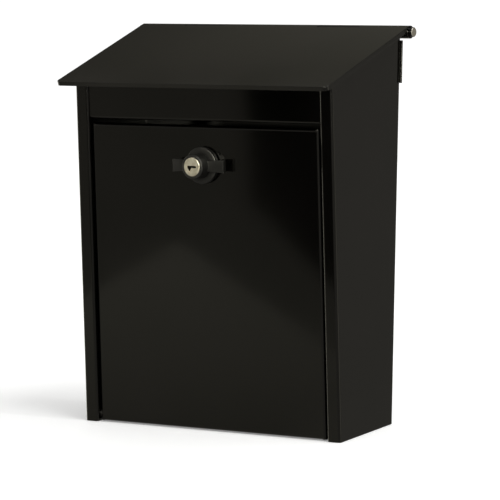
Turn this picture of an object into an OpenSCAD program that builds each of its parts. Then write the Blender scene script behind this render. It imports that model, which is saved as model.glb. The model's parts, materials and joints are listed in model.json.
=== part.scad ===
// Wall mounted mailbox of folded, powder coated sheet steel.
// Millimetres. +Z is up, +Y points into the wall and X runs along the width.
// The origin is on the wall plane, at the centre of the four screw holes.

/* [Body] */
// Width over the two side panels
body_w = 250; // [200:1:320]
// Depth of the body at its foot, from the back panel to the front
floor_d = 77; // [68:1:120]
// Height of the front edge of the side panels
front_h = 284; // [240:1:360]
// Angle that the front leans outward, in degrees
front_lean = 4.7; // [0:0.1:8]
// Angle that the floor rises toward the back, in degrees
floor_rise = 7; // [0:0.1:8]
// Slope of the lid and of the side panels' top edges, in degrees
lid_slope = 22.5; // [10:0.5:30]
// Thickness of the body sheet
sheet_t = 1.2; // [0.8:0.1:2]
// Inside radius of every fold
fold_r = 1.0; // [0.5:0.1:1.5]
// Distance from the back panel to the wall
wall_gap = 12; // [11:0.5:16]
// Width of each front stile
stile_w = 12.5; // [8:0.5:20]
// Depth of the flange that each stile turns inward
stile_return = 14; // [12.5:0.5:20]
// Distance that the fascia and the door sit behind the stiles
recess = 2; // [1:0.1:4]
// Corner cut at the top rear of each side panel, beside the hinge
hinge_cut = 5; // [4:0.5:8]

/* [Floor] */
// Gap between the stile returns and the floor's front upstand
floor_front_gap = 0.3; // [0.2:0.1:1]
// Height of the floor's front upstand and rear flange
floor_upstand = 12; // [8:0.5:16]
// Height of the floor's side flanges
floor_flange = 10; // [6:0.5:14]
// Diameter of the drain holes
drain_d = 6; // [3:0.5:9]
// Distance between the two columns of drain holes
drain_span_x = 160; // [100:1:170]
// Distance between the two rows of drain holes
drain_span_y = 36; // [20:1:40]

/* [Fascia] */
// Height of the fascia between the door gap and its top edge
fascia_h = 30.5; // [24:0.5:50]
// Depth of the fascia's top flange
fascia_top_flange = 9; // [7:0.5:14]
// Depth of the fascia's bottom flange, which the latch cam hooks behind
fascia_bottom_flange = 16; // [14:0.5:20]
// Height of the lip at the rear of the bottom flange
fascia_lip = 6; // [4:0.5:10]
// Depth of the end tabs that are riveted to the stiles
fascia_tab = 10; // [8:0.5:12]
// Diameter of the fascia rivets
fascia_rivet_d = 3; // [2:0.2:4]

/* [Door] */
// Gap between the door and each stile
door_side_gap = 2.2; // [1:0.1:4]
// Gap between the door's top edge and the fascia
door_top_gap = 4.2; // [2:0.1:6]
// Height of the door's lower edge above the front's lower edge
door_lift = 1; // [0.5:0.1:2]
// Depth of the door's side and top flanges
door_flange = 10; // [8:0.5:10]
// Depth of the door's bottom flange
door_bottom_flange = 6; // [4:0.5:7]
// Distance from the door sheet's inner face to the pivot axis
pivot_set_in = 3.8; // [3.6:0.1:4.8]
// Height of the pivot axis along the front
pivot_rise = 6; // [5.5:0.1:7]
// Diameter of the pivot pins
pivot_d = 4; // [3:0.1:4.5]
// Diameter of the heads of the pivot pins
pivot_head_d = 6.4; // [6:0.1:6.8]
// Height of the door stops along the front
stop_rise = 150; // [100:1:190]
// Height of one door stop tab
stop_h = 16; // [12:0.5:24]
// Diameter of a door bumper
bumper_d = 7; // [5:0.5:9]

/* [Lid] */
// Distance that the lid stands past each side panel
lid_overhang = 6.5; // [4:0.5:12]
// Distance from the wall to the lid's front edge
lid_reach = 130; // [112:1:170]
// Depth of the lips, measured from the lid's top face
lid_lip = 3.6; // [2.5:0.1:8]
// Radius of the lid's front corners, seen from above
lid_corner_r = 4; // [3:0.5:12]
// Gap between the side panels' top edges and the lid
lid_gap = 2; // [1.5:0.1:4]
// Diameter of a lid buffer
buffer_d = 9; // [6:0.5:10]

/* [Hinge] */
// Diameter of the hinge pin
pin_d = 8; // [4:0.1:8.4]
// Distance that the hinge pin stands past each side of the lid
pin_proud = 3.5; // [1:0.5:8]
// Thickness of the hinge leaf
leaf_t = 1.2; // [1:0.1:2]
// Distance that the hinge leaf stands past each side panel
leaf_overhang = 2; // [0:0.5:4]
// Height of the leaf below the hinge barrel
leaf_h = 36; // [28:1:60]
// Width of each knuckle on the leaf
knuckle_w = 40; // [20:1:60]
// Distance from the centre line to the middle of each knuckle
knuckle_x = 66; // [50:1:72]
// Number of rivets through the leaf
leaf_rivets_n = 5; // [3:1:7]
// Distance between neighbouring leaf rivets
leaf_rivet_pitch = 46; // [20:1:46]
// Diameter of the leaf rivets
leaf_rivet_d = 3.2; // [2.4:0.1:4]

/* [Wall fixing] */
// Distance between the two columns of screw holes
screw_span_x = 160; // [100:1:180]
// Distance between the two rows of screw holes
screw_span_z = 180; // [100:1:190]
// Height of the lower row of screw holes
screw_low_z = 62; // [40:1:80]
// Diameter of the screw holes
screw_d = 6.5; // [4:0.1:8]
// Diameter of the rubber spacers round the screw holes
spacer_d = 20; // [14:0.5:30]

/* [Lock] */
// Distance from the door's top edge down to the lock's axis
lock_drop = 31; // [26:0.5:45]
// Diameter of the lock's collar
collar_d = 30; // [26:0.5:38]
// Thickness of the lock's collar
collar_t = 3.5; // [2:0.1:6]
// Diameter of the lock's threaded barrel
barrel_d = 18.8; // [17:0.1:22]
// Depth of the barrel's end behind the front face
barrel_end = 19.2; // [18:0.1:21]
// Thickness of the rubber gasket under the collar
gasket_t = 1; // [0.5:0.1:2]
// Thickness of the toothed washer
washer_t = 1.2; // [0.8:0.1:2]
// Distance across the flats of the lock nut
nut_af = 24; // [23.5:0.1:30]
// Thickness of the lock nut
nut_t = 5; // [3:0.1:7]
// Diameter of the knob's barrel
knob_d = 20; // [19:0.1:25]
// Distance that the knob stands in front of the door
knob_reach = 17; // [16:0.5:30]
// Distance over the tips of the two wings
wing_span = 49; // [40:0.5:60]
// Height of a wing at its root
wing_root = 8.2; // [6:0.1:10]
// Height of a wing at its tip
wing_tip = 10.2; // [6:0.1:12]
// Thickness of the wings
wing_t = 3.8; // [2.5:0.1:6]
// Diameter of the knob's spindle
spindle_d = 11.9; // [9:0.1:13]
// Distance across the square end of the spindle
square_af = 8; // [6:0.1:9]
// Diameter of the key plug
plug_d = 15.6; // [13:0.1:16]
// Thickness of the knob's wall behind the key plug
knob_floor = 2.4; // [1.5:0.1:4]
// Length of the keyway's slot
keyway_l = 8.4; // [5:0.1:9]
// Height of the keyway's slot
keyway_h = 1.7; // [1:0.1:2.5]
// Number of wafers in the plug
wafers_n = 5; // [3:1:6]
// Thickness of a wafer
wafer_t = 0.9; // [0.5:0.1:1.1]
// Length of the cam from the lock's axis to its tip
cam_l = 46; // [42:0.5:55]
// Width of the cam
cam_w = 16; // [13:0.5:20]
// Thickness of the cam
cam_t = 2.5; // [1.5:0.1:3]
// Diameter of the cam screw's thread
cam_screw_d = 4; // [3:0.1:4.5]

/* [Hidden] */
$fn = 48;

black_coat = "#1d1c19";
black_part = "#0c0c0c";
rubber = "#161616";
nickel = "#d6cfb8";
zinc = "#9a9c9e";

eps = 0.01;         // overlap between the parts of one solid
run_on = 0.02;      // degrees by which an oblique fold runs into the sheet after it
far = 400;          // a length that reaches past everything
running = 0.05;     // radial clearance of a turning fit
loose = 0.15;       // radial clearance of a bolt or rivet in its hole
knuckle_gap = 0.5;  // side clearance between the hinge's knuckles
piece_gap = 0.3;    // clearance between a moving piece and a fixed one

bend = fold_r + sheet_t;               // outside radius of a fold
half_w = body_w / 2;
opening_half = half_w - stile_w;       // from the centre line to a stile's inner edge
lid_w = body_w + 2 * lid_overhang;
pin_l = lid_w + 2 * pin_proud;
leaf_w = body_w + 2 * leaf_overhang;
foot_y = -(wall_gap + floor_d);        // the front's lower edge
back_in_y = -wall_gap - sheet_t;       // the back panel's inner face

// The side panels' outline
function front_y(z) = foot_y - z * tan(front_lean);
function side_top_z(y) = front_h + (y - front_y(front_h)) * tan(lid_slope);
foot_back_z = floor_d * tan(floor_rise);
back_top_z = side_top_z(-wall_gap) - hinge_cut;
front_len = front_h / cos(front_lean);

// The hinge's axis: the knuckles are tangent to the back panel and the lid's
// underside is tangent to the pin.
curl_in = pin_d / 2 + running;
curl_out = curl_in + sheet_t;
axis_y = -wall_gap + leaf_t + curl_in;
axis_z = side_top_z(axis_y) + (lid_gap - curl_in) / cos(lid_slope);
barrel_clear = 1.5;                    // from the barrel to the sheet edges beside it
lid_l = (lid_reach + axis_y - curl_out * sin(lid_slope)) / cos(lid_slope);

// Places along the front, measured from its lower edge
fascia_top = front_len - 3;
fascia_foot = fascia_top - fascia_h;
door_top = fascia_foot - door_top_gap;
door_half = opening_half - door_side_gap;
door_back = recess + sheet_t;          // the door sheet's inner face
flange_back = recess + door_flange;    // the inner edge of the door's flanges
pivot_depth = door_back + pivot_set_in;
lock_rise = door_top - lock_drop;

// The floor, measured back from the front's lower edge
upstand_lean = floor_upstand * max(0, tan(floor_rise - front_lean));
floor_set_back = stile_return + floor_front_gap + upstand_lean;
floor_end = (floor_d - sheet_t) / cos(floor_rise);

// The lock, measured inward from the front face
collar_back = recess - gasket_t;
collar_front = collar_back - collar_t;
knob_foot = collar_front - piece_gap;
knob_front = recess - knob_reach;
plug_depth = knob_foot - knob_front - knob_floor;
nut_front = door_back + washer_t;
spindle_end = barrel_end + piece_gap;
cam_front = spindle_end;
cam_back = cam_front + cam_t;
cam_washer_t = 1;

// The body is drawn up from its lowest edge and then hung by its screw holes.
module hung() {
    translate([0, 0, -screw_low_z - screw_span_z / 2]) children();
}

// The front's own frame: y runs inward from the face and z up along it.
module in_front() {
    translate([0, foot_y, 0]) rotate([front_lean, 0, 0]) children();
}

// The lid's own frame: its origin is on the hinge's axis and y runs up the slope.
module in_lid() {
    translate([0, axis_y, axis_z]) rotate([lid_slope, 0, 0]) children();
}

// The lock's own frame: z points out of the door along the lock's axis.
module in_lock() {
    in_front() translate([0, 0, lock_rise]) rotate([90, 0, 0]) children();
}

// A round bar along X that is centred on the origin.
module bar_x(d, l) {
    rotate([0, 90, 0]) cylinder(d = d, h = l, center = true);
}

// A section drawn in Y and Z, stretched along X from x0 to x1.
module along_x(x0, x1) {
    translate([x0, 0, 0]) rotate([90, 0, 90]) linear_extrude(x1 - x0) children();
}

module both_sides() {
    children();
    mirror([1, 0, 0]) children();
}

// A ring's sector from angle a0 over the angle a.
module sector(r_in, r_out, a0, a) {
    reach = 2 * r_out;
    intersection() {
        difference() {
            circle(r_out);
            circle(r_in);
        }
        polygon([[0, 0], reach * [cos(a0), sin(a0)],
                 reach * [cos(a0 + a / 2), sin(a0 + a / 2)] * 1.2,
                 reach * [cos(a0 + a), sin(a0 + a)]]);
    }
}

// The section of a folded sheet. It starts at the origin and runs along +X with its
// outer face at y = 0. Each turn is a fold to the left by that many degrees.
module folded(legs, turns, t = sheet_t, i = 0) {
    square([legs[i], t]);
    if (i < len(turns)) {
        a = turns[i];
        r_out = fold_r + t;
        translate([legs[i], r_out]) {
            sector(fold_r, r_out, -90, a == 90 ? a : a + run_on);
            translate(r_out * [sin(a), -cos(a)]) rotate(a)
                folded(legs, turns, t, i + 1);
        }
    }
}

// A blind rivet along +Z: its domed head stands on z = 0 and its shank fills grip.
module rivet(d, grip) {
    head_d = 2 * d;
    head_h = 0.4 * d;
    ball_r = (head_d * head_d / 4 + head_h * head_h) / (2 * head_h);
    intersection() {
        translate([0, 0, head_h - ball_r]) sphere(ball_r);
        cylinder(d = head_d, h = head_h);
    }
    translate([0, 0, -grip - eps]) cylinder(d = d, h = grip + 2 * eps);
    translate([0, 0, -grip - head_h]) cylinder(d = 1.5 * d, h = head_h);
}

module side_outline() {
    polygon([[foot_y, 0], [-wall_gap, foot_back_z], [-wall_gap, back_top_z],
             [-wall_gap - hinge_cut, side_top_z(-wall_gap - hinge_cut)],
             [front_y(front_h), front_h]]);
}

module at_screws() {
    for (x = [-1, 1], z = [0, 1])
        translate([x * screw_span_x / 2, 0, screw_low_z + z * screw_span_z]) children();
}

module at_leaf_rivets() {
    for (i = [0 : leaf_rivets_n - 1])
        translate([(i - (leaf_rivets_n - 1) / 2) * leaf_rivet_pitch, 0,
                   back_top_z - leaf_h / 2]) children();
}

// The fascia's rivets run along X, two at each end.
module at_fascia_rivets() {
    for (s = [0.3, 0.75])
        both_sides() in_front()
            translate([opening_half, door_back + fascia_tab / 2, fascia_foot + s * fascia_h])
                rotate([0, 90, 0]) children();
}

module at_pivots() {
    both_sides() in_front() translate([opening_half, pivot_depth, pivot_rise]) children();
}

// One sheet makes the back, the sides, the stiles and their returns.
module shell() {
    wrap_d = 30;   // depth of the rear section, whose sides merge with the side panels
    color(black_coat) hung()
    difference() {
        union() {
            intersection() {
                both_sides() in_front() translate([0, 0, -30]) linear_extrude(far)
                    translate([opening_half, stile_return]) rotate(-90)
                        folded([stile_return - bend, stile_w - 2 * bend, far], [90, 90]);
                along_x(-half_w, half_w) side_outline();
            }
            intersection() {
                linear_extrude(back_top_z)
                    translate([half_w, -wall_gap - wrap_d]) rotate(90)
                        folded([wrap_d - bend, body_w - 2 * bend, wrap_d - bend], [90, 90]);
                along_x(-half_w, half_w) side_outline();
            }
            both_sides() in_front()
                translate([door_half - stop_h / 2, stile_return - eps, stop_rise])
                    cube([opening_half - door_half + sheet_t + stop_h / 2, sheet_t + eps, stop_h]);
        }
        at_screws() translate([0, -wall_gap - 2 * sheet_t, 0]) rotate([-90, 0, 0])
            cylinder(d = screw_d, h = 3 * sheet_t);
        at_leaf_rivets() translate([0, -wall_gap - 2 * sheet_t, 0]) rotate([-90, 0, 0])
            cylinder(d = leaf_rivet_d + 2 * loose, h = 3 * sheet_t);
        at_fascia_rivets() cylinder(d = fascia_rivet_d + 2 * loose, h = 6 * sheet_t, center = true);
        at_pivots() bar_x(pivot_d + 2 * running, 4 * sheet_t);
    }
}

// The floor is spot welded inside the shell and rises toward the back.
module floor_panel() {
    floor_half = half_w - sheet_t;
    flange_l = floor_end - floor_set_back - 3 * bend;
    color(black_coat) hung()
    translate([0, foot_y, 0]) rotate([floor_rise, 0, 0])
    difference() {
        union() {
            along_x(-floor_half + fold_r, floor_half - fold_r)
                translate([floor_set_back, floor_upstand]) rotate(-90)
                    folded([floor_upstand - bend,
                            floor_end - floor_set_back - bend
                                - bend * tan((90 - floor_rise) / 2),
                            floor_upstand - bend], [90, 90 - floor_rise]);
            both_sides() translate([floor_half, floor_set_back + bend, 0]) {
                translate([-2 * bend, 0, 0]) cube([2 * bend, flange_l, sheet_t]);
                translate([-sheet_t, 0, 0]) cube([sheet_t, flange_l, floor_flange]);
            }
        }
        for (x = [-1, 1], y = [-1, 1])
            translate([x * drain_span_x / 2,
                       (floor_set_back + floor_end) / 2 + y * drain_span_y / 2, -sheet_t])
                cylinder(d = drain_d, h = 3 * sheet_t);
    }
}

// The fixed strip above the door, with a flange at its foot for the cam.
module fascia() {
    color(black_coat) hung()
    difference() {
        in_front() {
            along_x(-opening_half, opening_half)
                translate([recess + fascia_top_flange, fascia_top]) rotate(180)
                    folded([fascia_top_flange - bend, fascia_h - 2 * bend,
                            fascia_bottom_flange - 2 * bend, fascia_lip - bend], [90, 90, 90]);
            both_sides()
                translate([opening_half - sheet_t, door_back - eps, fascia_foot + bend])
                    cube([sheet_t, fascia_tab, fascia_h - 2 * bend]);
        }
        at_fascia_rivets() cylinder(d = fascia_rivet_d + 2 * loose, h = 6 * sheet_t, center = true);
        in_front() for (x = [-1, 1])
            translate([x * opening_half * 0.8, recess + fascia_top_flange / 2 + sheet_t / 2,
                       fascia_top - 2 * sheet_t])
                cylinder(d = buffer_d / 2, h = 3 * sheet_t);
    }
}

module fascia_rivets() {
    color(zinc) hung()
    for (s = [0.3, 0.75])
        both_sides() in_front()
            translate([opening_half - sheet_t, door_back + fascia_tab / 2,
                       fascia_foot + s * fascia_h])
                rotate([0, -90, 0]) rivet(fascia_rivet_d, 2 * sheet_t);
}

module hinge_leaf() {
    leaf_top = axis_z - curl_out - barrel_clear;
    knuckle_out = curl_in + leaf_t;
    color(black_coat) hung()
    difference() {
        union() {
            translate([-leaf_w / 2, -wall_gap, back_top_z - leaf_h])
                cube([leaf_w, leaf_t, leaf_top - back_top_z + leaf_h]);
            both_sides() {
                translate([knuckle_x - knuckle_w / 2, -wall_gap, leaf_top - eps])
                    cube([knuckle_w, leaf_t, axis_z - leaf_top + eps]);
                translate([knuckle_x, axis_y, axis_z]) bar_x(2 * knuckle_out, knuckle_w);
            }
        }
        translate([0, axis_y, axis_z]) bar_x(pin_d + 2 * running, far);
        at_leaf_rivets() translate([0, -wall_gap - leaf_t, 0]) rotate([-90, 0, 0])
            cylinder(d = leaf_rivet_d + 2 * loose, h = 3 * leaf_t);
    }
}

module leaf_rivets() {
    color(zinc) hung()
    at_leaf_rivets() translate([0, -wall_gap + leaf_t, 0]) rotate([-90, 0, 0])
        rivet(leaf_rivet_d, leaf_t + sheet_t);
}

// A plain steel pin whose turned ends stand past the lid.
module hinge_pin() {
    chamfer = 0.6;
    color(black_coat) hung()
    translate([0, axis_y, axis_z]) {
        bar_x(pin_d, pin_l - 2 * chamfer);
        both_sides() translate([pin_l / 2 - chamfer - eps, 0, 0]) rotate([0, 90, 0])
            cylinder(d1 = pin_d, d2 = pin_d - 2 * chamfer, h = chamfer + eps);
    }
}

// Rubber spacers keep the hinge barrel off the wall.
module wall_spacers() {
    chamfer = 0.8;
    color(rubber) hung()
    at_screws() translate([0, -wall_gap, 0]) rotate([-90, 0, 0])
    difference() {
        union() {
            cylinder(d = spacer_d, h = wall_gap - chamfer);
            translate([0, 0, wall_gap - chamfer])
                cylinder(d1 = spacer_d, d2 = spacer_d - 2 * chamfer, h = chamfer);
        }
        translate([0, 0, -eps]) cylinder(d = screw_d, h = wall_gap + 2 * eps);
    }
}

// Buffers on the fascia's top flange carry the lid.
module lid_buffers() {
    seat_y = recess + fascia_top_flange / 2 + sheet_t / 2;
    seat_world_y = foot_y + seat_y * cos(front_lean) - fascia_top * sin(front_lean);
    seat_world_z = seat_y * sin(front_lean) + fascia_top * cos(front_lean);
    lid_under_z = side_top_z(seat_world_y) + lid_gap / cos(lid_slope);
    color(rubber) hung()
    difference() {
        in_front() for (x = [-1, 1]) translate([x * opening_half * 0.8, seat_y, 0]) {
            translate([0, 0, fascia_top]) cylinder(d = buffer_d, h = lid_under_z - seat_world_z + 3);
            translate([0, 0, fascia_top - sheet_t - eps])
                cylinder(d = buffer_d / 2 - 0.1, h = sheet_t + 2 * eps);
            translate([0, 0, fascia_top - sheet_t - 1.5]) cylinder(d = buffer_d * 0.7, h = 1.5);
        }
        in_lid() translate([-far / 2, -far, curl_in - piece_gap]) cube([far, far, far]);
    }
}

// Rubber bumpers on the stop tabs meet the door's side flanges.
module door_bumpers() {
    color(rubber) hung()
    both_sides() in_front()
        translate([opening_half - bumper_d / 2 - piece_gap, stile_return - 2 * eps,
                   stop_rise + stop_h / 2])
            rotate([90, 0, 0])
                cylinder(d = bumper_d, h = stile_return - flange_back - piece_gap - 2 * eps);
}

// Each pivot pin is riveted into a stile return and the door's flange turns on it.
module pivot_pins() {
    head_t = 1.6;
    inner_l = door_side_gap + sheet_t + piece_gap;
    color(zinc) hung()
    at_pivots() {
        translate([(sheet_t - inner_l) / 2, 0, 0]) bar_x(pivot_d, sheet_t + inner_l);
        translate([sheet_t + head_t / 2, 0, 0]) bar_x(pivot_head_d, head_t);
        translate([-inner_l - head_t / 2, 0, 0]) bar_x(pivot_head_d, head_t);
    }
}

module pivot_washers() {
    washer_w = door_side_gap - piece_gap;
    color(black_part) hung()
    at_pivots() translate([-washer_w / 2, 0, 0])
    difference() {
        bar_x(pivot_head_d, washer_w);
        bar_x(pivot_d + 2 * running, 2 * washer_w);
    }
}

// Flat lid with turned down lips; its rear edge is curled round the pin.
module lid_outline(inset) {
    w = lid_w - 2 * inset;
    r = lid_corner_r - inset;
    translate([-w / 2, -lid_l + inset + r]) square([w, lid_l - inset - r]);
    translate([-w / 2 + r, -lid_l + inset]) square([w - 2 * r, r + eps]);
    for (s = [-1, 1]) translate([s * (w / 2 - r), -lid_l + inset + r]) circle(r);
}

module lid() {
    knuckle_out = curl_in + leaf_t;
    notch_w = knuckle_w + 2 * knuckle_gap;
    slit = 1.2;
    notch_end = sqrt(pow(knuckle_out + 2 * piece_gap, 2) - curl_in * curl_in);
    lip_end = knuckle_out + barrel_clear;
    color(black_coat) hung()
    in_lid() difference() {
        union() {
            difference() {
                translate([0, 0, curl_out - lid_lip]) linear_extrude(lid_lip) lid_outline(0);
                translate([0, 0, curl_out - lid_lip - 1])
                    linear_extrude(lid_lip + 1 - sheet_t) lid_outline(sheet_t);
                translate([-far / 2, -lip_end, -far + curl_in]) cube([far, far, far]);
            }
            bar_x(2 * curl_out, lid_w);
        }
        bar_x(2 * curl_in, far);
        rotate([-45, 0, 0]) translate([-far / 2, -curl_out - 1, -slit / 2])
            cube([far, curl_out + 1, slit]);
        both_sides() translate([knuckle_x - notch_w / 2, -notch_end, -far / 2])
            cube([notch_w, far, far]);
        both_sides() translate([knuckle_x - notch_w / 2, -lip_end, -far + curl_in])
            cube([notch_w, far, far]);
    }
}

// Shallow pan with a cut at the foot of its side flanges, clear of the floor.
module door() {
    relief = 0.6;
    top_w = door_half - bend - relief;
    cut = door_flange - door_bottom_flange;
    color(black_coat) hung()
    difference() {
        in_front() difference() {
            union() {
                translate([0, 0, door_lift]) linear_extrude(door_top - door_lift)
                    translate([-door_half, flange_back]) rotate(-90)
                        folded([door_flange - bend, 2 * door_half - 2 * bend,
                                door_flange - bend], [90, 90]);
                along_x(-top_w, top_w)
                    translate([flange_back, door_top]) rotate(180)
                        folded([door_flange - bend, 3 * bend], [90]);
                along_x(-top_w, top_w)
                    translate([recess, door_lift + 4 * bend]) rotate(-90)
                        folded([3 * bend, door_bottom_flange - bend], [90]);
            }
            along_x(-far, far)
                polygon([[flange_back - cut, door_lift], [flange_back, door_lift + cut],
                         [flange_back + 1, door_lift + cut], [flange_back + 1, door_lift - 1],
                         [flange_back - cut, door_lift - 1]]);
            // The sheet's square edges give way to the folds of the top and the foot.
            along_x(-top_w, top_w) difference() {
                union() {
                    translate([recess - 1, door_top - bend]) square([bend + 1, bend + 1]);
                    translate([recess - 1, door_lift - 1]) square([bend + 1, bend + 1]);
                }
                translate([recess + bend, door_top - bend]) circle(bend);
                translate([recess + bend, door_lift + bend]) circle(bend);
            }
        }
        at_pivots() bar_x(pivot_d + 2 * running, 4 * door_side_gap + 4 * sheet_t);
        in_lock() translate([0, 0, -flange_back])
            cylinder(d = barrel_d + 2 * loose, h = 2 * flange_back);
    }
}

// Collar and barrel, with two flats along the barrel.
module lock_body() {
    chamfer = 0.8;
    flat_af = barrel_d - 2;
    color(black_part) hung()
    in_lock() difference() {
        union() {
            translate([0, 0, -collar_back]) cylinder(d = collar_d, h = collar_t - chamfer);
            translate([0, 0, -collar_front - chamfer])
                cylinder(d1 = collar_d, d2 = collar_d - 2 * chamfer, h = chamfer);
            intersection() {
                translate([0, 0, -barrel_end])
                    cylinder(d = barrel_d, h = barrel_end - collar_back + eps);
                translate([-flat_af / 2, -barrel_d, -barrel_end]) cube([flat_af, 2 * barrel_d, far]);
            }
        }
        translate([0, 0, -barrel_end - 1])
            cylinder(d = spindle_d + 2 * running, h = barrel_end + collar_t + 5);
    }
}

module lock_gasket() {
    color(rubber) hung()
    in_lock() translate([0, 0, -recess]) difference() {
        cylinder(d = collar_d - 1, h = gasket_t);
        translate([0, 0, -1]) cylinder(d = barrel_d + 2 * loose, h = gasket_t + 2);
    }
}

module lock_washer() {
    teeth = 16;
    washer_r = nut_af / 2 + 0.6;
    color(zinc) hung()
    in_lock() translate([0, 0, -nut_front]) difference() {
        cylinder(r = washer_r, h = washer_t);
        translate([0, 0, -1]) cylinder(d = barrel_d + 2 * loose, h = washer_t + 2);
        for (i = [0 : teeth - 1]) rotate(i * 360 / teeth)
            translate([washer_r - 1.2, -0.6, -1]) cube([3, 1.2, washer_t + 2]);
    }
}

module lock_nut() {
    color(zinc) hung()
    in_lock() translate([0, 0, -nut_front - nut_t]) difference() {
        intersection() {
            cylinder(d = nut_af / cos(30), h = nut_t, $fn = 6);
            cylinder(d = nut_af * 1.1, h = nut_t);
        }
        translate([0, 0, -1]) cylinder(d = barrel_d + 2 * loose, h = nut_t + 2);
    }
}

// Knob with two wings; its spindle runs through the barrel to a square end.
module knob() {
    rim = 0.8;
    square_l = cam_t + 0.2;
    bore_d = plug_d + 2 * running;
    color(black_part) hung()
    in_lock() difference() {
        union() {
            translate([0, 0, -knob_foot]) cylinder(d = knob_d, h = knob_foot - knob_front - rim);
            translate([0, 0, -knob_front - rim])
                cylinder(d1 = knob_d, d2 = knob_d - 2 * rim, h = rim);
            translate([0, 0, -knob_foot]) linear_extrude(wing_t)
                for (s = [-1, 1]) scale([s, 1])
                    polygon([[0, -wing_root / 2], [knob_d / 2, -wing_root / 2],
                             [wing_span / 2, -wing_tip / 2], [wing_span / 2, wing_tip / 2],
                             [knob_d / 2, wing_root / 2], [0, wing_root / 2]]);
            translate([0, 0, -spindle_end])
                cylinder(d = spindle_d, h = spindle_end - knob_foot + eps);
            translate([-square_af / 2, -square_af / 2, -spindle_end - square_l])
                cube([square_af, square_af, square_l + eps]);
        }
        translate([0, 0, -knob_front - plug_depth]) cylinder(d = bore_d, h = plug_depth + 1);
        translate([0, 0, -spindle_end - square_l - 1])
            cylinder(d = cam_screw_d, h = 12 + square_l);
    }
}

// The cam lies flat to the right when the lock is open and swings up to lock.
module cam() {
    hole = square_af + 0.1;
    color(zinc) hung()
    in_lock() translate([0, 0, -cam_back]) difference() {
        linear_extrude(cam_t) {
            circle(d = cam_w);
            translate([0, -cam_w / 2]) square([cam_l - cam_w / 4, cam_w]);
            translate([cam_l - cam_w / 4, -cam_w / 4]) square([cam_w / 4, cam_w / 2]);
            for (s = [-1, 1]) translate([cam_l - cam_w / 4, s * cam_w / 4]) circle(d = cam_w / 2);
        }
        translate([-hole / 2, -hole / 2, -1]) cube([hole, hole, cam_t + 2]);
    }
}

module cam_washer() {
    color(zinc) hung()
    in_lock() translate([0, 0, -cam_back - 0.2 - cam_washer_t]) difference() {
        cylinder(d = cam_w - 2, h = cam_washer_t);
        translate([0, 0, -1]) cylinder(d = cam_screw_d + 2 * loose, h = cam_washer_t + 2);
    }
}

module cam_screw() {
    head_d = 2 * cam_screw_d;
    head_h = 2.4;
    head_front = cam_back + 0.2 + cam_washer_t;
    color(zinc) hung()
    in_lock() difference() {
        union() {
            translate([0, 0, -head_front - head_h]) cylinder(d = head_d, h = head_h);
            translate([0, 0, -head_front - eps]) cylinder(d = cam_screw_d, h = 12);
        }
        for (a = [0, 90]) rotate(a) translate([-2.4, -0.5, -head_front - head_h - 1])
            cube([4.8, 1, 2.4]);
    }
}

// Nickel plated plug with a keyway, a key stop and one slot per wafer.
module key_plug() {
    proud = 0.4;
    edge = 0.6;
    slot_w = wafer_t + 0.1;
    color(nickel) hung()
    in_lock() translate([0, 0, -knob_front]) difference() {
        union() {
            translate([0, 0, -plug_depth + 0.2]) cylinder(d = plug_d, h = plug_depth + proud - 0.2 - edge);
            translate([0, 0, proud - edge]) cylinder(d1 = plug_d, d2 = plug_d - 2 * edge, h = edge);
        }
        translate([-keyway_l / 2, -keyway_h / 2, -plug_depth + 2])
            cube([keyway_l, keyway_h, plug_depth]);
        translate([-keyway_l / 4, -keyway_h / 2, -1.6]) linear_extrude(3)
            polygon([[-1.8, 0], [0, -3.2], [1.8, 0]]);
        for (i = [0 : wafers_n - 1])
            translate([-plug_d * 0.3, -plug_d / 2 - 1, wafer_z(i) - slot_w / 2])
                cube([plug_d * 0.6, plug_d + 2, slot_w]);
    }
}

// The wafers stand in a row behind the plug's face.
function wafer_z(i) = -3 - i * (plug_depth - 5) / wafers_n;

module plug_wafers() {
    w = plug_d * 0.6 - 0.1;
    color(nickel) hung()
    in_lock() translate([0, 0, -knob_front])
    for (i = [0 : wafers_n - 1]) difference() {
        intersection() {
            translate([-w / 2, -plug_d / 2, wafer_z(i) - wafer_t / 2]) cube([w, plug_d, wafer_t]);
            translate([0, 0, -plug_depth]) cylinder(d = plug_d - 0.6, h = plug_depth);
        }
        translate([-keyway_l / 2, -keyway_h / 2, -plug_depth]) cube([keyway_l, keyway_h, plug_depth]);
    }
}

shell();
floor_panel();
fascia();
fascia_rivets();
hinge_leaf();
leaf_rivets();
hinge_pin();
wall_spacers();
lid_buffers();
door_bumpers();
pivot_pins();
pivot_washers();
lid();
door();
lock_body();
lock_gasket();
lock_washer();
lock_nut();
knob();
cam();
cam_washer();
cam_screw();
key_plug();
plug_wafers();
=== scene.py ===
import json
import math

import bpy
import numpy as np
from mathutils import Matrix, Vector


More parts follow.
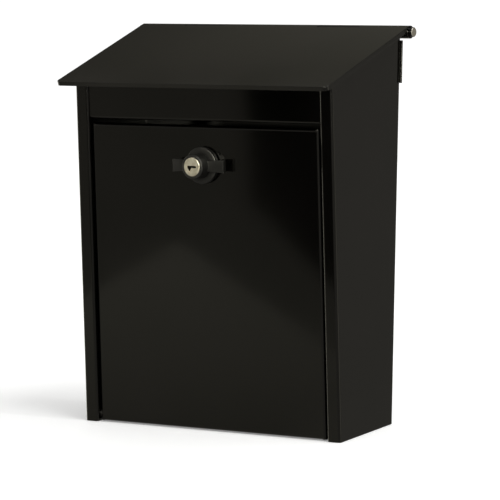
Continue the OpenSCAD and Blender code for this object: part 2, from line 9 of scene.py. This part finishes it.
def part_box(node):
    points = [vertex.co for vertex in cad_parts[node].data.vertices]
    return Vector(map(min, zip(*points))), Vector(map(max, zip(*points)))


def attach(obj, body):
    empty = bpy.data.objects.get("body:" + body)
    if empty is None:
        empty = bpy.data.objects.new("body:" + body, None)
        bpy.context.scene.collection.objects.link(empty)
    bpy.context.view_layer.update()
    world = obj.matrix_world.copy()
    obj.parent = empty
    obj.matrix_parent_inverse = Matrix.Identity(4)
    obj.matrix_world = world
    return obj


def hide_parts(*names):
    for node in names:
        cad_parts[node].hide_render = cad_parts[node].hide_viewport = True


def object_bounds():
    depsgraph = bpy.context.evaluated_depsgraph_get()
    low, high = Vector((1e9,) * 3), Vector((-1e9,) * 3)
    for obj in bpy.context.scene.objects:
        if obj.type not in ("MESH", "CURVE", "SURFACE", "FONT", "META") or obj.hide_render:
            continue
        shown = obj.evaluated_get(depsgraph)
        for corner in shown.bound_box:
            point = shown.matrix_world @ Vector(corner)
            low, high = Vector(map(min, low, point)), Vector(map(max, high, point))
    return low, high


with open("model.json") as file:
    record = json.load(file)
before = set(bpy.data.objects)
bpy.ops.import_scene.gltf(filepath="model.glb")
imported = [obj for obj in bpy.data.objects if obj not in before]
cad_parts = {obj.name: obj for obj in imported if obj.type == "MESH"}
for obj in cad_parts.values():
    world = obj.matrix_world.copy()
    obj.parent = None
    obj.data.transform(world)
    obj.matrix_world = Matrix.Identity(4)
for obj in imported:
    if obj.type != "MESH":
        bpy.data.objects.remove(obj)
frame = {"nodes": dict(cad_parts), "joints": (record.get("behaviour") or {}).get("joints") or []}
cad_low, cad_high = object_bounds()
nodes = frame["nodes"]


# Shell, floor panel, fascia, lid, door and hinge leaf
# All six are folded from cold rolled steel sheet, 1.2 mm thick, and powder coated in one
# batch. The coat flows at its edges, so every cut edge and fold ends in a soft round.
def linear(sheet_hex):
    """sRGB hex to linear: each channel c is c / 12.92 up to 0.04045, and above that it is
    (c + 0.055) / 1.055 to the power 2.4."""
    c = np.array([int(sheet_hex[i : i + 2], 16) / 255 for i in (1, 3, 5)])
    c = np.where(c <= 0.04045, c / 12.92, ((c + 0.055) / 1.055) ** 2.4)
    return (*c, 1.0)


def add_node(tree, kind, settings=None, values=None, links=None):
    """One shader node with its settings, its own socket values and the outputs that feed its inputs."""
    node = tree.nodes.new("ShaderNode" + kind)
    for key, value in (settings or {}).items():
        setattr(node, key, value)
    for key, value in (values or {}).items():
        node.inputs[key].default_value = value
    for key, source in (links or {}).items():
        tree.links.new(source, node.inputs[key])
    return node


def new_finish(name, lumps, rim_radius, **values):
    """A new material with its tree, its shader, whose constant values sit on its own sockets, and its
    fields by name. Each entry of lumps is a noise field: millimetres from lump to lump, octaves and
    their weight. The field "rim" is 0 on the flats and reaches 1 at an edge, where the normal that
    is rounded over the rim radius leans away, as the dot product of the two falls from 0.985 to 0.8."""
    material = bpy.data.materials.new(name)
    material.use_nodes = True
    tree = material.node_tree
    tree.nodes.clear()
    shader = add_node(tree, "BsdfPrincipled", values=values)
    add_node(tree, "OutputMaterial", links={"Surface": shader.outputs["BSDF"]})
    field = {"place": add_node(tree, "TexCoord").outputs["Object"]}
    for lump, (millimetres, octaves, weight) in lumps.items():
        field[lump] = add_node(
            tree, "TexNoise", values={"Scale": 1000 / millimetres, "Detail": octaves, "Roughness": weight},
            links={"Vector": field["place"]},
        ).outputs["Fac"]
    if rim_radius:
        field["round"] = add_node(
            tree, "Bevel", settings={"samples": 6}, values={"Radius": rim_radius}
        ).outputs["Normal"]
        agree = add_node(
            tree, "VectorMath", settings={"operation": "DOT_PRODUCT"},
            links={0: field["round"], 1: add_node(tree, "NewGeometry").outputs["Normal"]},
        )
        field["rim"] = add_node(
            tree, "MapRange", values={"From Min": 0.80, "From Max": 0.985, "To Min": 1.0, "To Max": 0.0},
            links={"Value": agree.outputs["Value"]},
        ).outputs["Result"]
    return material, tree, shader, field


def dress(tree, shader, field, tones, layers, gloss, reliefs):
    """Colour, roughness and relief of a finish, from its fields.
    Colour: from the first tone to the second as the field of tones goes from 0.32 to 0.68, then each
    layer's tone over it, where the layer's mask is 1. A mask runs from low to high as its field goes
    from start to end, times the rim field for a layer that only goes on the rims (worn edges, and
    painted edge highlights).
    Roughness: the sum of the gloss terms, each a field run from low to high in the same way.
    Relief: each field of reliefs lifts the surface, one after the other, by up to its depth in metres."""
    source, dark, light = tones
    blend = add_node(
        tree, "MapRange", values={"From Min": 0.32, "From Max": 0.68}, links={"Value": field[source]}
    )
    colour = add_node(
        tree, "Mix", settings={"data_type": "RGBA"}, values={6: linear(dark), 7: linear(light)},
        links={0: blend.outputs["Result"]},
    ).outputs[2]
    for tone, source, (low, high), (start, end), on_rim in layers:
        mask = add_node(
            tree, "MapRange", values={"From Min": start, "From Max": end, "To Min": low, "To Max": high},
            links={"Value": field[source]},
        ).outputs["Result"]
        if on_rim:
            mask = field["rim_wear_and_highlight"] = add_node(
                tree, "Math", settings={"operation": "MULTIPLY"}, links={0: field["rim"], 1: mask}
            ).outputs[0]
        colour = add_node(
            tree, "Mix", settings={"data_type": "RGBA"}, values={7: linear(tone)}, links={0: mask, 6: colour}
        ).outputs[2]
    tree.links.new(colour, shader.inputs["Base Color"])
    dull = None
    for source, (low, high), (start, end) in gloss:
        term = add_node(
            tree, "MapRange", values={"From Min": start, "From Max": end, "To Min": low, "To Max": high},
            links={"Value": field[source]},
        ).outputs["Result"]
        dull = term if dull is None else add_node(tree, "Math", links={0: dull, 1: term}).outputs[0]
    tree.links.new(dull, shader.inputs["Roughness"])
    normal = field["round"]
    for source, depth in reliefs:
        normal = add_node(
            tree, "Bump", values={"Strength": 1.0, "Distance": depth},
            links={"Height": field[source], "Normal": normal},
        ).outputs["Normal"]
    tree.links.new(normal, shader.inputs["Normal"])
    return colour


def coat(name, material):
    """Puts one material on a CAD node or a new piece."""
    mesh = nodes[name].data if isinstance(name, str) else name.data
    mesh.materials.clear()
    mesh.materials.append(material)


# Gloss black polyester powder coat, sprayed and baked. It mirrors the room as a dark, slightly
# soft picture. Orange peel lies 3.5 mm apart, and the sheet drifts by hundredths over 70 mm. The
# thin coat on the edges is rubbed to a dull charcoal in places, and that lighter charcoal on the
# edges is also a painted highlight, for the thin light lines that edges catch.
middle, whole = (0.35, 0.65), (0.0, 1.0)
powder_coat, tree, shader, field = new_finish(
    "gloss_black_powder_coat",
    {"peel": (3.5, 2.0, 0.45), "drift": (70, 1.5, 0.4), "rub_and_highlight": (9, 2.0, 0.6), "mist": (0.9, 1.0, 0.45)},
    rim_radius=0.0007, Metallic=0.0, IOR=1.5,
)
dress(
    tree, shader, field, tones=("drift", "#030302", "#060504"),
    layers=[("#24221f", "rub_and_highlight", (0.25, 1.0), (0.42, 0.62), True)],
    gloss=[("drift", (0.085, 0.12), middle), ("mist", (0.0, 0.02), middle), ("rim_wear_and_highlight", (0.0, 0.14), whole)],
    reliefs=[("drift", 0.00022), ("peel", 0.000007)],
)
for sheet in ("shell", "floor_panel", "fascia", "lid", "door", "hinge_leaf"):
    coat(sheet, powder_coat)


# Hinge pin
# An 8 mm steel rod, coated black with the sheets and then cut to length, so that its two end
# faces are bare and bright, with the saw's grain, and the coat stops 0.2 to 0.6 mm from them.
# The charcoal on every rim of the rod is a painted edge highlight.
pin_rod, tree, shader, field = new_finish(
    "black_coated_rod_with_cut_ends", {"peel": (2.0, 2.0, 0.45), "saw": (0.5, 3.0, 0.7)},
    rim_radius=0.0006, IOR=1.5,
)
pin_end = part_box("hinge_pin")[1].x
across = add_node(tree, "SeparateXYZ", links={"Vector": field["place"]}).outputs["X"]
out = add_node(tree, "Math", settings={"operation": "ABSOLUTE"}, links={0: across}).outputs[0]
field["bare"] = add_node(
    tree, "MapRange", values={"From Min": pin_end - 0.0006, "From Max": pin_end - 0.0002},
    links={"Value": out},
).outputs["Result"]
black = dress(
    tree, shader, field, tones=("peel", "#040403", "#090807"),
    layers=[("#24221f", "rim", whole, whole, False)],
    gloss=[("bare", (0.14, 0.42), whole)], reliefs=[("peel", 0.000006)],
)
sawn = add_node(
    tree, "MapRange", values={"From Min": 0.32, "From Max": 0.68}, links={"Value": field["saw"]}
).outputs["Result"]
steel = add_node(
    tree, "Mix", settings={"data_type": "RGBA"}, values={6: linear("#b5b0a6"), 7: linear("#dcd8cf")},
    links={0: sawn},
).outputs[2]
ended = add_node(
    tree, "Mix", settings={"data_type": "RGBA"}, links={0: field["bare"], 6: black, 7: steel}
).outputs[2]
# This takes the place of the coat's own link, so that steel shows where the rod is bare.
tree.links.new(ended, shader.inputs["Base Color"])
tree.links.new(field["bare"], shader.inputs["Metallic"])
coat("hinge_pin", pin_rod)


# Knob and lock barrel
# Both are pressure cast in zinc and sprayed satin black. The casting skin is finely pebbled,
# 0.7 mm apart, and the spray is thin on the ribs and rims that fingers rub. The lighter grey on
# those rims is partly that wear and partly a painted edge highlight.
black_casting, tree, shader, field = new_finish(
    "satin_black_zinc_casting", {"pebble": (0.7, 2.0, 0.6), "cloud": (12, 1.5, 0.45), "rub_and_highlight": (3, 2.0, 0.6)},
    rim_radius=0.0005, Metallic=0.0, IOR=1.5,
)
dress(
    tree, shader, field, tones=("cloud", "#0a0a09", "#11100f"),
    layers=[("#3b3a37", "rub_and_highlight", (0.2, 1.0), (0.45, 0.62), True)],
    gloss=[("cloud", (0.40, 0.48), middle)], reliefs=[("pebble", 0.00002)],
)
coat("knob", black_casting)


def skin(name, points, quads, material):
    """A smooth piece from rows of points and its faces, at the origin, with one material."""
    mesh = bpy.data.meshes.new(name)
    mesh.from_pydata(np.asarray(points).reshape(-1, 3).tolist(), [], list(quads))
    mesh.polygons.foreach_set("use_smooth", np.ones(len(quads), bool))
    piece = bpy.data.objects.new(name, mesh)
    bpy.context.scene.collection.objects.link(piece)
    coat(piece, material)
    return piece


# The barrel is one turned form with a collar outside the door and a 1.5 mm pitch thread behind
# it, which the nut runs on. The thread runs out before the collar and before the back end.
lock = next(joint for joint in frame["joints"] if joint["name"] == "plug_turn")
lock_axis, lock_place = np.array(lock["axis"]), np.array(lock["pos_m"])
collar_r, thread_r, bore_r, thread_depth, pitch = 15.0, 9.4, 6.0, 0.55, 1.5
thread_back, thread_front = 18.7, 3.4
back_end = [(19.2, bore_r + 0.3), (19.2, thread_r - 0.7), (18.9, thread_r - 0.35)]
threaded_length = [(depth, thread_r) for depth in np.arange(thread_back, thread_front, -pitch / 10)]
neck = [(3.2, thread_r), (1.6, thread_r), (1.05, thread_r + 0.05), (1.0, thread_r + 0.4)]
collar = [(1.0, collar_r - 0.3), (0.7, collar_r), (-1.3, collar_r), (-1.7, collar_r - 0.05),
          (-2.1, collar_r - 0.25), (-2.4, collar_r - 0.6), (-2.5, collar_r - 1.0)]
bore = [(-2.5, bore_r + 0.25), (-2.3, bore_r), (19.0, bore_r)]
depth, radius = np.array(back_end + threaded_length + neck + collar + bore).T
turn = np.linspace(0, 2 * np.pi, 96, endpoint=False)


def threaded(depth, radius, turn):
    """The radius of a turned form with a cut thread: at each depth y and turn t the cut is the thread's
    depth times a triangle wave of y / pitch - t / 360 degrees, which is divided by 0.75, lowered by 0.15
    and held between 0 and 1, and it fades to nothing over 1.5 mm at both ends of the threaded length."""
    phase = depth[:, None] / pitch - turn[None, :] / (2 * np.pi)
    wave = np.clip(np.abs(2 * (phase - np.floor(phase)) - 1) / 0.75 - 0.15, 0, 1)
    fade = np.clip((thread_back - depth) / 1.5, 0, 1) * np.clip((depth - thread_front) / 1.5, 0, 1)
    return radius[:, None] - thread_depth * wave * fade[:, None]


cut = threaded(depth, radius, turn) / 1000
across, up = np.array((1.0, 0, 0)), np.cross(lock_axis, (1.0, 0, 0))
points = (
    lock_place - lock_axis * depth[:, None, None] / 1000
    + np.cos(turn)[None, :, None] * cut[..., None] * across
    + np.sin(turn)[None, :, None] * cut[..., None] * up
).reshape(-1, 3)
rows, columns = cut.shape
i, j = np.meshgrid(np.arange(rows), np.arange(columns), indexing="ij")
i_next, j_next = (i + 1) % rows, (j + 1) % columns
corners = (i * columns + j, i_next * columns + j, i_next * columns + j_next, i * columns + j_next)
quads = np.stack(corners, -1).reshape(-1, 4)
a, b, c, d = (points[quads[:, k]] - lock_place for k in range(4))
if (np.cross(a, b) * c).sum() + (np.cross(a, c) * d).sum() < 0:
    quads = quads[:, ::-1]
barrel = skin("threaded_lock_barrel", points, quads.tolist(), black_casting)
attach(barrel, "door")
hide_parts("lock_body")


# Wall spacers, lid buffers, door bumpers and lock gasket
# All are moulded from black EPDM and pushed into their holes. The mould leaves a dull, even
# skin, grained 0.5 mm apart, and a grey bloom comes out of the rubber in 6 mm patches. The
# lighter grey on every rim is a painted edge highlight.
rubber, tree, shader, field = new_finish(
    "moulded_black_epdm_rubber", {"skin": (0.5, 2.0, 0.6), "bloom": (6, 3.0, 0.6)},
    rim_radius=0.0006, Metallic=0.0, IOR=1.5,
)
dress(
    tree, shader, field, tones=("bloom", "#121211", "#20201e"),
    layers=[("#2b2a28", "rim", whole, whole, False)],
    gloss=[("bloom", (0.58, 0.78), middle)], reliefs=[("skin", 0.00003)],
)
for pad in ("wall_spacers", "lid_buffers", "door_bumpers", "lock_gasket"):
    coat(pad, rubber)


# Pivot washers
# They are turned from black nylon bar and sit between the door's folds and the stiles. The cut
# face is waxy, with a grain of 0.35 mm from the tool.
nylon, tree, shader, field = new_finish(
    "turned_black_nylon", {"cut": (0.35, 1.0, 0.45), "cloud": (4, 1.5, 0.45)},
    rim_radius=0.0003, Metallic=0.0, IOR=1.53,
)
dress(
    tree, shader, field, tones=("cloud", "#0d0d0c", "#181716"), layers=[],
    gloss=[("cloud", (0.38, 0.5), middle)], reliefs=[("cut", 0.00001)],
)
coat("pivot_washers", nylon)


# Rivets, pivot pins, lock washer, nut, cam, cam washer and cam screw
# All are mild steel, pressed or turned, then barrel plated with zinc and passivated clear. The
# plate is a bright blue grey with a 0.6 mm crystal mottle, and the barrel dulls its edges.
zinc_plate, tree, shader, field = new_finish(
    "clear_passivated_zinc_plate",
    {"mottle": (0.6, 3.0, 0.6), "cloud": (5, 1.5, 0.45), "scuff": (1.6, 2.0, 0.7)},
    rim_radius=0.0004, Metallic=1.0,
)
dress(
    tree, shader, field, tones=("mottle", "#9a9fa6", "#c3c6c8"),
    layers=[
        ("#b9b298", "cloud", (0.0, 0.5), middle, False),
        ("#85868a", "scuff", (0.1, 0.8), (0.4, 0.6), True),
    ],
    gloss=[("mottle", (0.24, 0.42), middle)], reliefs=[("scuff", 0.00001)],
)
for part in ("fascia_rivets", "leaf_rivets", "pivot_pins", "lock_washer", "lock_nut",
             "cam", "cam_washer", "cam_screw"):
    coat(part, zinc_plate)


# Key plug and its wafers
# The plug is turned from brass bar and nickel plated. The lathe leaves rings 0.1 mm apart, drawn
# 0.4 mm apart so that they show. From 0.2 mm below the face the keyway is painted near black,
# partly dirt and partly painted shade in the slot.
nickel_plate, tree, shader, field = new_finish(
    "nickel_plated_turned_brass", {"cloud": (3, 1.5, 0.45), "nick": (0.8, 3.0, 0.7)},
    rim_radius=0.0003, Metallic=1.0,
)
face_depth, ring_gap = -0.0154, 0.0004
lean = math.atan2(lock_axis[2], lock_axis[1]) + math.pi
centred = add_node(
    tree, "Mapping", settings={"vector_type": "TEXTURE"},
    values={"Location": lock["pos_m"], "Rotation": (lean, 0, 0)}, links={"Vector": field["place"]},
).outputs["Vector"]
field["rings"] = add_node(
    tree, "TexWave", settings={"wave_type": "RINGS", "rings_direction": "Y"},
    values={"Scale": math.pi / 10 / ring_gap, "Distortion": 0.6, "Detail": 1.0}, links={"Vector": centred},
).outputs["Fac"]
below = add_node(tree, "SeparateXYZ", links={"Vector": centred}).outputs["Y"]
field["keyway"] = add_node(
    tree, "MapRange", values={"From Min": face_depth + 0.0002, "From Max": face_depth + 0.0006},
    links={"Value": below},
).outputs["Result"]
dress(
    tree, shader, field, tones=("cloud", "#dad4c2", "#f1ede0"),
    layers=[("#c9a865", "nick", (0.0, 1.0), (0.45, 0.6), True), ("#1a1712", "keyway", whole, whole, False)],
    gloss=[("nick", (0.34, 0.5), middle)], reliefs=[("rings", 0.000012)],
)
for part in ("key_plug", "plug_wafers"):
    coat(part, nickel_plate)


# Camera
# A long lens 2.8 m away, in front and to the right, and a little above the middle of the box.
lens = bpy.data.cameras.new("camera")
lens.lens, lens.sensor_width, lens.clip_end = 242.5, 36, 50
camera = bpy.data.objects.new("camera", lens)
eye, pan, dip, roll = (1.5364, -2.3281, 0.1307), 33.833, 2.8495, 1.129
camera.matrix_world = (
    Matrix.Translation(eye)
    @ Matrix.Rotation(math.radians(pan), 4, "Z")
    @ Matrix.Rotation(math.radians(90 - dip), 4, "X")
    @ Matrix.Rotation(math.radians(roll), 4, "Z")
)
bpy.context.scene.collection.objects.link(camera)
bpy.context.scene.camera = camera


# Floor
# White backdrop paper. It follows the box's foot, which rises 7 degrees toward the back, and in
# front of it the paper rolls down 120 mm, which leaves the open door room to hang.
paper, tree, shader, field = new_finish(
    "white_backdrop_paper", {"fibre": (2.0, 1.5, 0.45)}, rim_radius=None,
    **{"Roughness": 0.8, "Specular IOR Level": 0.1, "Emission Color": (1, 1, 1, 1), "Emission Strength": 0.2},
)
blend = add_node(
    tree, "MapRange", values={"From Min": 0.32, "From Max": 0.68}, links={"Value": field["fibre"]}
).outputs["Result"]
white = add_node(
    tree, "Mix", settings={"data_type": "RGBA"}, values={6: linear("#f8f8f7"), 7: linear("#fcfcfb")},
    links={0: blend},
).outputs[2]
tree.links.new(white, shader.inputs["Base Color"])
shell_points = np.array([vertex.co for vertex in nodes["shell"].data.vertices])
foot_front = shell_points[shell_points[:, 2] < cad_low.z + 0.0004, 1].min()
paper_half, reach, drop = 6, 0.5, 0.12
along = foot_front + np.sinh(np.linspace(-paper_half, paper_half, 241)) * 0.03
grid_x, grid_y = np.meshgrid(np.linspace(-paper_half, paper_half, 61), along)
behind = grid_y - foot_front
rise = math.tan(math.radians(7)) * reach * np.tanh(behind / reach)
fall = drop * np.tanh(math.tan(math.radians(26)) * behind / drop)
grid_z = cad_low.z - 0.0003 + np.where(behind > 0, rise, fall)
rows, columns = grid_x.shape
corner = (np.arange(rows - 1)[:, None] * columns + np.arange(columns - 1)).ravel()
quads = np.stack([corner, corner + 1, corner + columns + 1, corner + columns], -1).tolist()
floor = skin("studio_floor", np.stack([grid_x, grid_y, grid_z], -1), quads, paper)
floor.visible_glossy = False


# Cards
# Grey and black cards stand around the box, where its gloss faces mirror them. They glow with
# their own value at each corner, and only mirrored light sees them.
card_glow = bpy.data.materials.new("studio_card")
card_glow.use_nodes = True
tree = card_glow.node_tree
tree.nodes.clear()
own = add_node(tree, "Attribute", settings={"attribute_name": "glow"})
shine = add_node(
    tree, "Emission", values={"Color": (1.0, 0.955, 0.78, 1)}, links={"Strength": own.outputs["Fac"]}
)
add_node(tree, "OutputMaterial", links={"Surface": shine.outputs["Emission"]})


def card(name, points, glow, quads=((0, 1, 2, 3),)):
    """A card through the given corners, with a glow at each of them that runs smoothly in between."""
    piece = skin(name, points, quads, card_glow)
    values = piece.data.attributes.new("glow", "FLOAT", "POINT")
    values.data.foreach_set("value", np.asarray(glow, np.float32))
    piece.visible_camera = piece.visible_diffuse = piece.visible_shadow = False
    piece.visible_transmission = piece.visible_volume_scatter = False


def mirrored(points, normal, distance):
    """Each point on a face is carried the given distance along its mirrored sight line: with d the unit
    vector from the camera to the point and n the face's normal, that line runs along d - 2 (d . n) n."""
    sight = points - np.array(eye)
    sight /= np.linalg.norm(sight, axis=1)[:, None]
    return points + distance * (sight - 2 * (sight @ normal)[:, None] * normal)


# The front's card. Each corner is given as x and height in millimetres on the leaning front face
# where it shows, and as its glow.
front_lean = math.radians(4.7)
front_normal = np.array((0, -math.cos(front_lean), -math.sin(front_lean)))
front_y, front_z = -0.1065, 0.0635
corners = [
    # grey, upper left
    ((-190, 190), 0.21), ((44, 190), 0.17), ((44, 36), 0.19), ((-29, 1), 0.21), ((-190, -84), 0.21),
    # grey, between the two slopes
    ((150, -56), 0.19), ((150, -95), 0.19),
    # black, upper right
    ((44, 190), 0.0), ((190, 190), 0.0), ((190, -60), 0.03), ((112, -23), 0.0), ((44, 36), 0.0),
    # light, below
    ((-29, 1), 0.44), ((150, -95), 0.30), ((150, -290), 0.42), ((-190, -290), 0.08), ((-190, -84), 0.36),
]
x, z = np.array([place for place, _ in corners]).T / 1000
on_front = np.stack([x, front_y - (z - front_z) * math.tan(front_lean), z], -1)
fields = [(0, 1, 2, 3, 4), (2, 5, 6, 3), (7, 8, 9, 10, 11), (12, 13, 14, 15, 16)]
card("front_card", mirrored(on_front, front_normal, 0.4), [glow for _, glow in corners], fields)

lid_slope = math.radians(22.5)
lid_normal = np.array((0, -math.sin(lid_slope), math.cos(lid_slope)))
on_lid = np.array([(-0.2, -0.16, 0.11), (0.2, -0.16, 0.11), (0.2, 0.06, 0.201), (-0.2, 0.06, 0.201)])
card("lid_card", mirrored(on_lid, lid_normal, 0.5), (0.05, 0.11, 0.25, 0.065))

for name, centre, width, height, glow in (
    ("left_card", (-1.1, -0.05, 0.05), 0.5, 0.9, 2.2),
    ("right_card", (1.15, 0.10, 0.05), 0.4, 0.9, 1.1),
    ("plug_card", (0.35, -1.1, 0.35), 0.5, 0.5, 24.0),
):
    centre = np.array(centre)
    side = np.cross(centre, (0, 0, 1.0))
    side *= width / 2 / np.linalg.norm(side)
    up = np.array((0, 0, height / 2))
    card(name, [centre - side - up, centre + side - up, centre + side + up, centre - side + up], [glow] * 4)

flag = [(-0.1, 0.25, 0.95), (-0.1, 0.65, 0.85), (0.75, 0.85, 0.40), (0.75, 0.45, 0.55)]
card("lid_edge_flag", flag, [0.0] * 4)


# Light
# One broad soft light high on the right, and an even white room. Gloss faces see the room as
# dim grey, and the camera sees it as white.
lamp = bpy.data.lights.new("soft_light", "SUN")
lamp.energy, lamp.angle = 1.5, math.radians(30)
soft_light = bpy.data.objects.new("soft_light", lamp)
soft_light.rotation_mode = "QUATERNION"
soft_light.rotation_quaternion = Vector((0.6, -0.12, 1.0)).to_track_quat("Z", "Y")
bpy.context.scene.collection.objects.link(soft_light)

world = bpy.data.worlds.new("studio")
bpy.context.scene.world = world
world.use_nodes = True
tree = world.node_tree
tree.nodes.clear()
path = add_node(tree, "LightPath").outputs
mirror_room, lit_room, seen_room = (
    add_node(tree, "Background", values={"Color": colour, "Strength": strength}).outputs["Background"]
    for colour, strength in (((0.245, 0.234, 0.206, 1), 1.0), ((1, 1, 1, 1), 0.68), ((1, 1, 1, 1), 1.1))
)
inner = add_node(tree, "MixShader", links={0: path["Is Glossy Ray"], 1: lit_room, 2: mirror_room})
outer = add_node(tree, "MixShader", links={0: path["Is Camera Ray"], 1: inner.outputs[0], 2: seen_room})
add_node(tree, "OutputWorld", links={"Surface": outer.outputs[0]})
bpy.context.scene.view_settings.view_transform = "Standard"
